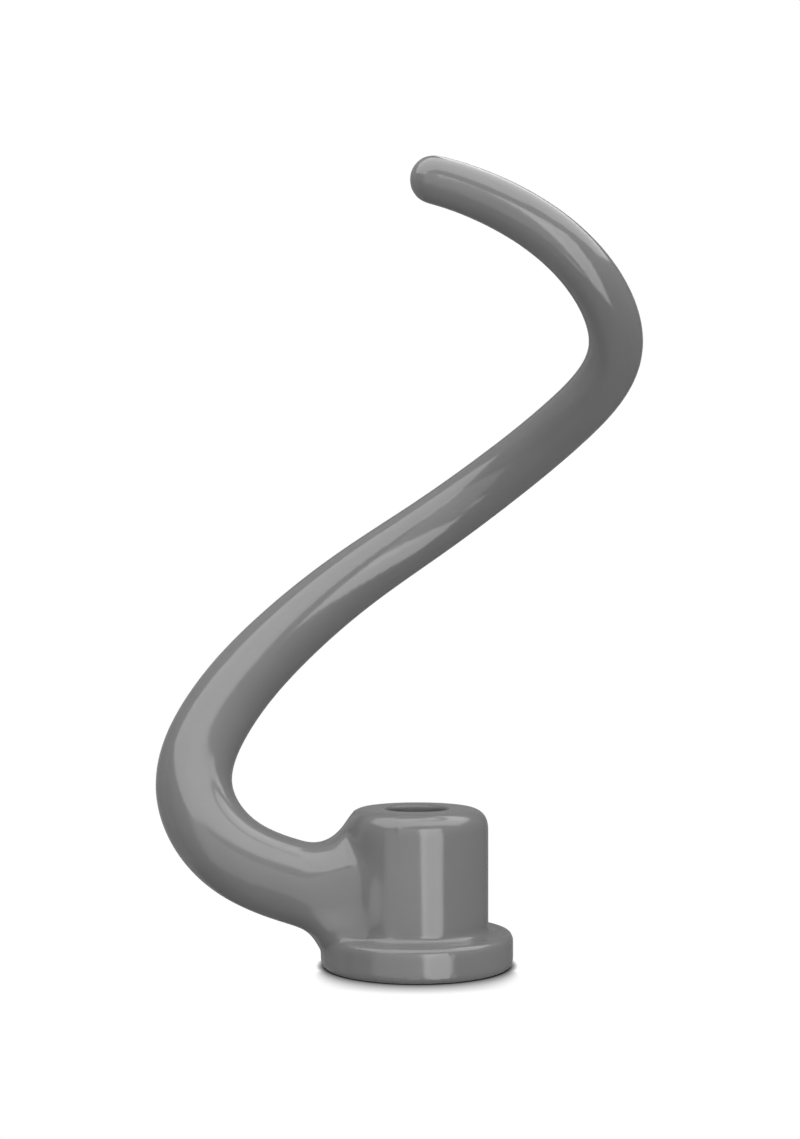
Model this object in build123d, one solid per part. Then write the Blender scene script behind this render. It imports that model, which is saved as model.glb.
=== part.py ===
from build123d import *
import math
import os

# A spiral dough hook for a stand mixer: one aluminium casting, coated all over.
# It stands on the flange of its hub, the way it is put away, so in use it is the other way up.
# Z is the shaft axis and the origin is the middle of the flange's resting face.
# The arm leaves the hub towards -X. Lengths are in millimetres and angles in degrees.

# The mixer's shaft and the drive pin that stands out of one side of it
shaft_diameter = 12.7
shaft_clearance = 0.15
pin_diameter = 4.8
pin_reach = 3.4
pin_clearance = 0.4

# The J-shaped slot that the pin enters at the flange face and locks in
slot_turn = 0.0
slot_height = 17.0
lock_turn = 60.0
seat_drop = 2.4

# The hub and its flange
hub_radius = 15.6
hub_height = 34.3
hub_top_round = 3.9
hub_foot_round = 1.6
bore_lip_round = 0.4
flange_radius = 21.0
flange_thickness = 7.4
flange_top_round = 1.25
flange_base_round = 1.0

# The arm: a round bar that thins steadily from the hub to the tip
root_diameter = 18.8
tip_diameter = 9.9
arm_start = (180.0, 5.0, 14.65)
arm_stations = [
    # turn round the shaft axis, distance from it, height
    (184.4, 18.5, 16.4),
    (183.3, 27.0, 18.5),
    (179.7, 41.2, 25.0),
    (172.4, 50.0, 38.0),
    (160.9, 47.7, 54.2),
    (141.9, 41.4, 69.8),
    (114.0, 36.3, 85.2),
    (84.5, 34.7, 97.7),
    (55.0, 35.5, 109.9),
    (24.7, 37.9, 121.0),
    (-4.3, 43.2, 135.0),
    (-23.1, 38.2, 149.1),
    (-47.2, 25.0, 161.9),
    (-79.8, 19.2, 166.7),
]

# The root, where the arm swells into the hub above and into the flange below.
# Each swell is an ogee: a hollow of one radius, then a crown of another inside the hub.
root_below_hub_top = 1.3
root_above_base = 2.9
top_hollow = 9.5
top_reach = 12.0
foot_hollow = 5.5
foot_crown = 1.4
foot_reach = 3.2
root_swell_sideways = 2.2
root_squareness = 2.5
root_seam_round = 1.2
section_gap = 1.6
section_points = 16


def place(turn, distance, height):
    """The point at a turn round the shaft axis, a distance from it and a height."""
    angle = math.radians(turn)
    return Vector(distance * math.cos(angle), distance * math.sin(angle), height)


def at_length(path, length):
    """A plane square to the path, this far along it, with its Y axis pointing up the hub."""
    origin = path.position_at(length, position_mode=PositionMode.LENGTH)
    ahead = path.tangent_at(length, position_mode=PositionMode.LENGTH)
    level = Vector(0, 0, 1).cross(ahead)
    return Plane(origin=origin, x_dir=level, z_dir=ahead)


def arm_radius(path, length):
    """The bar's radius this far along the path."""
    share = length / path.length
    return (root_diameter + (tip_diameter - root_diameter) * share) / 2


def flanged_hub():
    """The turned-looking boss and flange, still without the bore."""
    disc = Cylinder(flange_radius, flange_thickness, align=(Align.CENTER, Align.CENTER, Align.MIN))
    boss = Cylinder(hub_radius, hub_height, align=(Align.CENTER, Align.CENTER, Align.MIN))
    hub = disc + boss
    top_edge = hub.edges().filter_by(GeomType.CIRCLE).sort_by(Axis.Z)[-1]
    hub = fillet(top_edge, hub_top_round)
    foot_edge = hub.faces().filter_by(GeomType.PLANE).sort_by(Axis.Z)[1].inner_wires()[0].edges()
    hub = fillet(foot_edge, hub_foot_round)
    rim_edge = hub.faces().filter_by(GeomType.PLANE).sort_by(Axis.Z)[1].outer_wire().edges()
    hub = fillet(rim_edge, flange_top_round)
    base_edge = hub.faces().sort_by(Axis.Z)[0].edges()
    return fillet(base_edge, flange_base_round)


def ogee(depth, rise, hollow, crown):
    """The height of an S-shaped edge this far in: a hollow, then a crown that levels it off."""
    steepest = math.acos(1 - rise / (hollow + crown))
    hollow_depth = hollow * math.sin(steepest)
    from_level = (hollow + crown) * math.sin(steepest) - depth
    if depth <= 0:
        return 0
    if depth <= hollow_depth:
        return hollow - math.sqrt(hollow**2 - depth**2)
    if from_level >= 0:
        return rise - crown + math.sqrt(crown**2 - from_level**2)
    return rise


def root_section(path, length, top_start, foot_start):
    """One cross section of the root: round out on the arm, taller and squarer at the hub."""
    plane = at_length(path, length)
    radius = arm_radius(path, length)
    rise_up = hub_height - root_below_hub_top - plane.origin.Z - radius
    rise_down = plane.origin.Z - radius - root_above_base
    half_up = radius + ogee(top_start - length, rise_up, top_hollow, hub_top_round)
    half_down = radius + ogee(foot_start - length, rise_down, foot_hollow, foot_crown)
    inward = min(max((top_start - length) / top_reach, 0), 1)
    swell = inward**2 * (3 - 2 * inward)
    half_width = radius + root_swell_sideways * swell
    power = 2 / (2 + (root_squareness - 2) * swell)
    outline = []
    for step in range(section_points):
        angle = 2 * math.pi * step / section_points
        across = math.copysign(abs(math.cos(angle)) ** power, math.cos(angle))
        along = math.copysign(abs(math.sin(angle)) ** power, math.sin(angle))
        half_height = half_up if along > 0 else half_down
        outline.append((half_width * across, half_height * along))
    return plane * make_face(Spline(*outline, periodic=True))


def arm_root(path, top_start, foot_start, root_length):
    """The swollen start of the arm, from inside the hub to where the bar is plain and round."""
    count = round(root_length / section_gap)
    lengths = [root_length * step / count for step in range(count)]
    sections = [root_section(path, length, top_start, foot_start) for length in lengths]
    sections.append(at_length(path, root_length) * Circle(arm_radius(path, root_length)))
    return loft(sections)


def arm_bar(path, root_length):
    """The plain tapered bar, swept along the rest of the path."""
    start = at_length(path, root_length)
    end = at_length(path, path.length)
    run = path.trim(start.origin, end.origin)
    start_circle = start * Circle(arm_radius(path, root_length))
    end_circle = end * Circle(tip_diameter / 2)
    return sweep([start_circle, end_circle], run, multisection=True)


def arm_tip(path):
    """The half ball that ends the bar."""
    return at_length(path, path.length) * Sphere(tip_diameter / 2, arc_size1=0, align=None)


def shaft_socket():
    """What is cut out of the hub: the through bore and the J-shaped slot for the drive pin."""
    bore_radius = shaft_diameter / 2 + shaft_clearance
    slot_width = pin_diameter + 2 * pin_clearance
    slot_radius = bore_radius + pin_reach + pin_clearance
    bore = Cylinder(bore_radius, hub_height, align=(Align.CENTER, Align.CENTER, Align.MIN))
    entry = Box(slot_radius, slot_width, slot_height, align=(Align.MIN, Align.CENTER, Align.MIN))
    pocket_base = slot_height - slot_width
    pocket = Cylinder(
        slot_radius, slot_width, arc_size=lock_turn, align=None
    ).moved(Location((0, 0, pocket_base + slot_width / 2)))
    seat_height = slot_width + seat_drop
    seat = Box(slot_radius, slot_width, seat_height, align=(Align.MIN, Align.CENTER, Align.MIN))
    seat = Rot(0, 0, lock_turn) * Pos(0, 0, slot_height - seat_height) * seat
    return bore + Rot(0, 0, slot_turn) * (entry + pocket + seat)


def dough_hook():
    """The whole casting."""
    path = Spline(place(*arm_start), *[place(*station) for station in arm_stations])
    top_start = hub_radius + top_reach - arm_start[1]
    foot_start = flange_radius + foot_reach - arm_start[1]
    root_length = max(top_start, foot_start) + section_gap
    hub = flanged_hub()
    root = arm_root(path, top_start, foot_start, root_length)
    joined = hub + root
    joined = joined.fillet(root_seam_round, new_edges(hub, root, combined=joined))
    joined = joined - shaft_socket()
    lip = joined.faces().filter_by(GeomType.PLANE).sort_by(Axis.Z)[-1].inner_wires()[0].edges()
    joined = fillet(lip, bore_lip_round)
    return joined + arm_bar(path, root_length) + arm_tip(path)


os.makedirs("parts", exist_ok=True)
hook = dough_hook()
export_step(hook, "parts/dough_hook.step")
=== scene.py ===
import math

import bmesh
import bpy
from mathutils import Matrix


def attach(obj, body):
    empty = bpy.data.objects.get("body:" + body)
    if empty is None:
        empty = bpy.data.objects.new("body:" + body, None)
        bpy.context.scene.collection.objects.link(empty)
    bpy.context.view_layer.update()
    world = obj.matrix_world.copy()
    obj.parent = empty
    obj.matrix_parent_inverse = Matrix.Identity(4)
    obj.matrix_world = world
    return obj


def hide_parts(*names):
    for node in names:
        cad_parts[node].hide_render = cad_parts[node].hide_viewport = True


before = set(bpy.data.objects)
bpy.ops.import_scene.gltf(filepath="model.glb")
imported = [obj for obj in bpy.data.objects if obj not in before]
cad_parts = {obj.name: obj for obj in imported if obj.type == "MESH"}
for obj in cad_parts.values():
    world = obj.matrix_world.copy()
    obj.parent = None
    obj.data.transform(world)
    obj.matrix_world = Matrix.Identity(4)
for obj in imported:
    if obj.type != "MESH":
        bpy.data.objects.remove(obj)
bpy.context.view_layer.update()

# The dough hook is one aluminium casting: a hub with a flange, and a tapered arm in a spiral.
# It was fettled and polished by hand, and then coated all over in a smooth grey with a half gloss,
# so the surface rolls a little, and the bright streaks on it have soft, slightly uneven edges.
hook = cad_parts["dough_hook"]

skin = bmesh.new()
skin.from_mesh(hook.data)
bmesh.ops.remove_doubles(skin, verts=skin.verts, dist=0.000002)
rough_mesh = bpy.data.meshes.new("rough_casting")
skin.to_mesh(rough_mesh)
skin.free()
rough = bpy.data.objects.new("rough_casting", rough_mesh)
bpy.context.scene.collection.objects.link(rough)
even = rough.modifiers.new("even", "REMESH")
even.mode = "VOXEL"
even.voxel_size = 0.0006
evaluated = rough.evaluated_get(bpy.context.evaluated_depsgraph_get())
casting_mesh = bpy.data.meshes.new_from_object(evaluated)
bpy.data.objects.remove(rough)

# The fettler's belt evens the casting's skin all over. Where the arm meets the hub it cuts
# the sides of the arm back to a hollow, which is narrower the higher it climbs the hub.
polish = bmesh.new()
polish.from_mesh(casting_mesh)


def rub(verts, strokes):
    """Strokes of the belt over a part of the skin."""
    for stroke in range(strokes):
        bmesh.ops.smooth_vert(
            polish, verts=verts, factor=0.5, use_axis_x=True, use_axis_y=True, use_axis_z=True
        )


def ease(value):
    """A soft step from 0 to 1."""
    value = min(max(value, 0), 1)
    return value * value * (3 - 2 * value)


hub_radius = 0.0156
top_round = 0.0039
top_round_starts = 0.0304
foot_hollow = 0.0016
foot_hollow_ends = 0.0090


def hub_reach(height):
    """The hub's radius at a height, with its rounded top and the hollow at its foot."""
    if height > top_round_starts:
        rise = height - top_round_starts
        return hub_radius - top_round + math.sqrt(max(top_round**2 - rise**2, 0))
    if height < foot_hollow_ends:
        fall = foot_hollow_ends - height
        return hub_radius + foot_hollow - math.sqrt(max(foot_hollow**2 - fall**2, 0))
    return hub_radius


rub(polish.verts, 5)
arm_half_width = 0.0094
crease_hollow = 0.005
for vert in polish.verts:
    x, y, z = vert.co
    outside = math.hypot(x, y) - hub_reach(z)
    if -0.030 < x < -0.006 and 0.0078 < z < 0.0338 and outside > 0.00005:
        into_crease = min(max(x + 0.0142, 0), 0.0045)
        flare = crease_hollow - math.sqrt(crease_hollow**2 - into_crease**2)
        swell = 0.0022 * ease((0.0276 + x) / 0.012)
        narrow = (arm_half_width + 0.3 * swell + flare) / (arm_half_width + swell)
        climb = ease((z - 0.0215) / 0.010) * ease((0.0225 + x) / 0.0045)
        above_ledge = ease((z - 0.0085) / 0.006)
        narrow = 1 + (narrow * (1 - 0.34 * climb) - 1) * above_ledge
        axis = -0.0012 * ease((-0.005 - x) / 0.013)
        y = axis + (y - axis) * narrow
        shortfall = hub_reach(z) / math.hypot(x, y)
        if shortfall > 1:
            x, y = x * shortfall, y * shortfall
        vert.co = (x, y, z)
for reach, strokes in ((0.0050, 8), (0.0035, 10), (0.0018, 12)):
    seam = []
    for vert in polish.verts:
        x, y, z = vert.co
        if x < -0.004 and 0.0078 < z < 0.0335 and -0.003 < math.hypot(x, y) - hub_radius < reach:
            seam.append(vert)
    rub(seam, strokes)
for face in polish.faces:
    face.smooth = True
polish.to_mesh(casting_mesh)
polish.free()
casting = bpy.data.objects.new("coated_casting", casting_mesh)
bpy.context.scene.collection.objects.link(casting)
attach(casting, "root")
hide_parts("dough_hook")

# The coat's grey clouds a little from place to place, and its gloss does too.
# Sockets that share a name are taken by number: 9 and 10 are the ends of a Map Range of vectors,
# and in a Mix node 6 and 7 are the two colours, and 2 and 3 the two plain values.
coat = bpy.data.materials.new("grey_coat_on_casting")
coat.use_nodes = True
coat_nodes = coat.node_tree.nodes
coat_links = coat.node_tree.links
coat_shader = coat_nodes["Principled BSDF"]
coat_shader.inputs["IOR"].default_value = 1.5
place = coat_nodes.new("ShaderNodeTexCoord")

clouds = coat_nodes.new("ShaderNodeTexNoise")
clouds.inputs["Scale"].default_value = 90
clouds.inputs["Detail"].default_value = 3
grey = coat_nodes.new("ShaderNodeMapRange")
grey.data_type = "FLOAT_VECTOR"
grey.inputs[9].default_value = (0.133, 0.133, 0.133)
grey.inputs[10].default_value = (0.149, 0.149, 0.149)
coat_links.new(place.outputs["Object"], clouds.inputs["Vector"])
coat_links.new(clouds.outputs["Fac"], grey.inputs["Vector"])

# Down in the bore the coat's colour is painted dark as painted shade in the hole, and its
# roughness is raised there.
inside = coat_nodes.new("ShaderNodeMapRange")
inside.inputs["From Min"].default_value = 0.0068
inside.inputs["From Max"].default_value = 0.0072
spread = coat_nodes.new("ShaderNodeVectorMath")
spread.operation = "LENGTH"
flatten = coat_nodes.new("ShaderNodeVectorMath")
flatten.operation = "MULTIPLY"
flatten.inputs[1].default_value = (1, 1, 0)
below_lip = coat_nodes.new("ShaderNodeMapRange")
below_lip.inputs["From Min"].default_value = 0.0335
below_lip.inputs["From Max"].default_value = 0.0345
height = coat_nodes.new("ShaderNodeSeparateXYZ")
outer = coat_nodes.new("ShaderNodeMath")
outer.operation = "MAXIMUM"
# Painted shade: inside the bore, below the lip, the coat's grey gives way to this dark grey.
bore_painted_shade = coat_nodes.new("ShaderNodeMix")
bore_painted_shade.data_type = "RGBA"
bore_painted_shade.inputs[6].default_value = (0.075, 0.075, 0.075, 1)
bore_roughness = coat_nodes.new("ShaderNodeMix")
bore_roughness.inputs[2].default_value = 0.55
coat_links.new(place.outputs["Object"], flatten.inputs[0])
coat_links.new(flatten.outputs["Vector"], spread.inputs[0])
coat_links.new(spread.outputs["Value"], inside.inputs["Value"])
coat_links.new(place.outputs["Object"], height.inputs["Vector"])
coat_links.new(height.outputs["Z"], below_lip.inputs["Value"])
coat_links.new(inside.outputs["Result"], outer.inputs[0])
coat_links.new(below_lip.outputs["Result"], outer.inputs[1])
coat_links.new(outer.outputs["Value"], bore_painted_shade.inputs["Factor"])
coat_links.new(grey.outputs["Vector"], bore_painted_shade.inputs[7])
coat_links.new(bore_painted_shade.outputs[2], coat_shader.inputs["Base Color"])

rubbed = coat_nodes.new("ShaderNodeTexNoise")
rubbed.inputs["Scale"].default_value = 220
rubbed.inputs["Detail"].default_value = 4
gloss = coat_nodes.new("ShaderNodeMapRange")
gloss.inputs["To Min"].default_value = 0.12
gloss.inputs["To Max"].default_value = 0.17
coat_links.new(place.outputs["Object"], rubbed.inputs["Vector"])
coat_links.new(rubbed.outputs["Fac"], gloss.inputs["Value"])
coat_links.new(outer.outputs["Value"], bore_roughness.inputs["Factor"])
coat_links.new(gloss.outputs["Result"], bore_roughness.inputs[3])
coat_links.new(bore_roughness.outputs[0], coat_shader.inputs["Roughness"])

# The surface rolls by a fraction of a millimetre, under a very fine orange peel.
rolling = coat_nodes.new("ShaderNodeTexNoise")
rolling.inputs["Scale"].default_value = 75
rolling.inputs["Detail"].default_value = 0
rolls = coat_nodes.new("ShaderNodeBump")
rolls.inputs["Distance"].default_value = 0.0002
peel = coat_nodes.new("ShaderNodeTexNoise")
peel.inputs["Scale"].default_value = 1300
peel.inputs["Detail"].default_value = 1
peeled = coat_nodes.new("ShaderNodeBump")
peeled.inputs["Distance"].default_value = 0.000003
coat_links.new(place.outputs["Object"], rolling.inputs["Vector"])
coat_links.new(rolling.outputs["Fac"], rolls.inputs["Height"])
coat_links.new(place.outputs["Object"], peel.inputs["Vector"])
coat_links.new(peel.outputs["Fac"], peeled.inputs["Height"])
coat_links.new(rolls.outputs["Normal"], peeled.inputs["Normal"])
coat_links.new(peeled.outputs["Normal"], coat_shader.inputs["Normal"])
casting_mesh.materials.clear()
casting_mesh.materials.append(coat)

# The floor is a plain white sheet that the hook stands on, far larger than the view.
# The camera sees it as an even white glow, apart from a painted shadow where the flange meets it:
# the glow is darkened by the occlusion round the flange, over a reach that is wider in front of
# the flange than beside it.
# To all other rays it is a mid grey.
# It lets the low part of the tall light reach the hook, as a glass table top would.
floor_mesh = bpy.data.meshes.new("floor")
floor = bpy.data.objects.new("floor", floor_mesh)
bpy.context.scene.collection.objects.link(floor)
sheet = bmesh.new()
bmesh.ops.create_grid(sheet, x_segments=1, y_segments=1, size=3.0)
sheet.to_mesh(floor_mesh)
sheet.free()
floor.visible_glossy = False
floor.visible_shadow = False

paper = bpy.data.materials.new("white_paper_floor")
paper.use_nodes = True
paper_nodes = paper.node_tree.nodes
paper_links = paper.node_tree.links
paper_shader = paper_nodes["Principled BSDF"]
paper_shader.inputs["Base Color"].default_value = (0.35, 0.35, 0.35, 1)
paper_shader.inputs["Roughness"].default_value = 1.0
paper_shader.inputs["Specular IOR Level"].default_value = 0.0
shade = paper_nodes.new("ShaderNodeAmbientOcclusion")
shade.samples = 16
spot = paper_nodes.new("ShaderNodeTexCoord")
spot_axes = paper_nodes.new("ShaderNodeSeparateXYZ")
reach_forward = paper_nodes.new("ShaderNodeMapRange")
reach_forward.inputs["From Min"].default_value = -0.024
reach_forward.inputs["From Max"].default_value = -0.006
reach_forward.inputs["To Min"].default_value = 0.009
reach_forward.inputs["To Max"].default_value = 0.0015
deepen = paper_nodes.new("ShaderNodeMath")
deepen.operation = "POWER"
deepen.inputs[1].default_value = 2.5
# Painted shadow: the camera sees this glow, dimmed near the flange by the occlusion above.
seen = paper_nodes.new("ShaderNodeEmission")
paths = paper_nodes.new("ShaderNodeLightPath")
choose = paper_nodes.new("ShaderNodeMixShader")
paper_links.new(spot.outputs["Object"], spot_axes.inputs["Vector"])
paper_links.new(spot_axes.outputs["Y"], reach_forward.inputs["Value"])
paper_links.new(reach_forward.outputs["Result"], shade.inputs["Distance"])
paper_links.new(shade.outputs["AO"], deepen.inputs[0])
paper_links.new(deepen.outputs["Value"], seen.inputs["Strength"])
paper_links.new(paths.outputs["Is Camera Ray"], choose.inputs["Fac"])
paper_links.new(paper_shader.outputs["BSDF"], choose.inputs[1])
paper_links.new(seen.outputs["Emission"], choose.inputs[2])
paper_links.new(choose.outputs["Shader"], paper_nodes["Material Output"].inputs["Surface"])
floor_mesh.materials.append(paper)

# The camera looks level along +Y, a little above the middle of the hook.
view = bpy.data.cameras.new("view")
camera = bpy.data.objects.new("view", view)
bpy.context.scene.collection.objects.link(camera)
camera.location = (0, -0.37145, 0.07538)
camera.rotation_euler = (math.radians(90), 0, 0)
view.lens = 53.73
view.sensor_width = 36
view.shift_x = -0.0149
view.shift_y = 0.0443
view.clip_start = 0.01
bpy.context.scene.camera = camera

# The room is white where the camera looks, and dim all round the hook.
# In the hook's own reflections the backdrop behind it is a little paler than the rest.
world = bpy.data.worlds.new("room")
bpy.context.scene.world = world
world.use_nodes = True
world_nodes = world.node_tree.nodes
world_links = world.node_tree.links
direction = world_nodes.new("ShaderNodeTexCoord")
axes = world_nodes.new("ShaderNodeSeparateXYZ")
backdrop = world_nodes.new("ShaderNodeMapRange")
backdrop.inputs["From Min"].default_value = 0.80
backdrop.inputs["From Max"].default_value = 0.95
backdrop.inputs["To Max"].default_value = 0.13
sight = world_nodes.new("ShaderNodeLightPath")
mirrored = world_nodes.new("ShaderNodeMath")
mirrored.operation = "MAXIMUM"
backdrop_seen = world_nodes.new("ShaderNodeMath")
backdrop_seen.operation = "MULTIPLY_ADD"
backdrop_seen.inputs[2].default_value = 0.12
brighter = world_nodes.new("ShaderNodeMath")
brighter.operation = "MAXIMUM"
world_links.new(direction.outputs["Generated"], axes.inputs["Vector"])
world_links.new(axes.outputs["Y"], backdrop.inputs["Value"])
world_links.new(sight.outputs["Is Glossy Ray"], mirrored.inputs[0])
world_links.new(sight.outputs["Is Transmission Ray"], mirrored.inputs[1])
world_links.new(backdrop.outputs["Result"], backdrop_seen.inputs[0])
world_links.new(mirrored.outputs["Value"], backdrop_seen.inputs[1])
world_links.new(backdrop_seen.outputs["Value"], brighter.inputs[0])
world_links.new(sight.outputs["Is Camera Ray"], brighter.inputs[1])
world_links.new(brighter.outputs["Value"], world_nodes["Background"].inputs["Strength"])
world_nodes["Background"].inputs["Color"].default_value = (1, 1, 1, 1)


def soft_box(name, place, turn, width, height, brightness):
    """A soft box in a place, turned in degrees. Brightness 1 looks white."""
    data = bpy.data.lights.new(name, "AREA")
    lamp = bpy.data.objects.new(name, data)
    bpy.context.scene.collection.objects.link(lamp)
    data.shape = "RECTANGLE"
    data.size = width
    data.size_y = height
    data.energy = brightness * width * height * 4
    lamp.location = place
    lamp.rotation_euler = [math.radians(angle) for angle in turn]
    lamp.visible_camera = False


# The studio lights: one wide soft box overhead, a tall one to the right of the camera,
# a pale cloth in front, a small low card, and a dim wall to the left.
soft_box("overhead_box", (0.288, -0.090, 0.488), (6.0, -14.6, 8.2), 1.42, 0.46, 2.05)
soft_box("tall_box", (0.232, -0.521, -0.060), (90.0, -5.0, 24.0), 0.35, 0.78, 2.95)
soft_box("rear_box", (0.35, 0.23, 0.47), (6.0, -14.6, 8.2), 0.66, 0.22, 2.1)
soft_box("front_cloth", (-0.205, -0.644, 0.043), (90.0, 8.3, -17.7), 0.88, 0.70, 0.66)
soft_box("low_card", (-0.047, -0.662, -0.462), (90.0, -7.7, -4.1), 0.15, 0.25, 1.5)
soft_box("left_wall", (-0.585, 0.423, 0.337), (90.0, -2.3, -125.9), 0.87, 1.59, 0.20)

bpy.context.scene.view_settings.view_transform = "Standard"
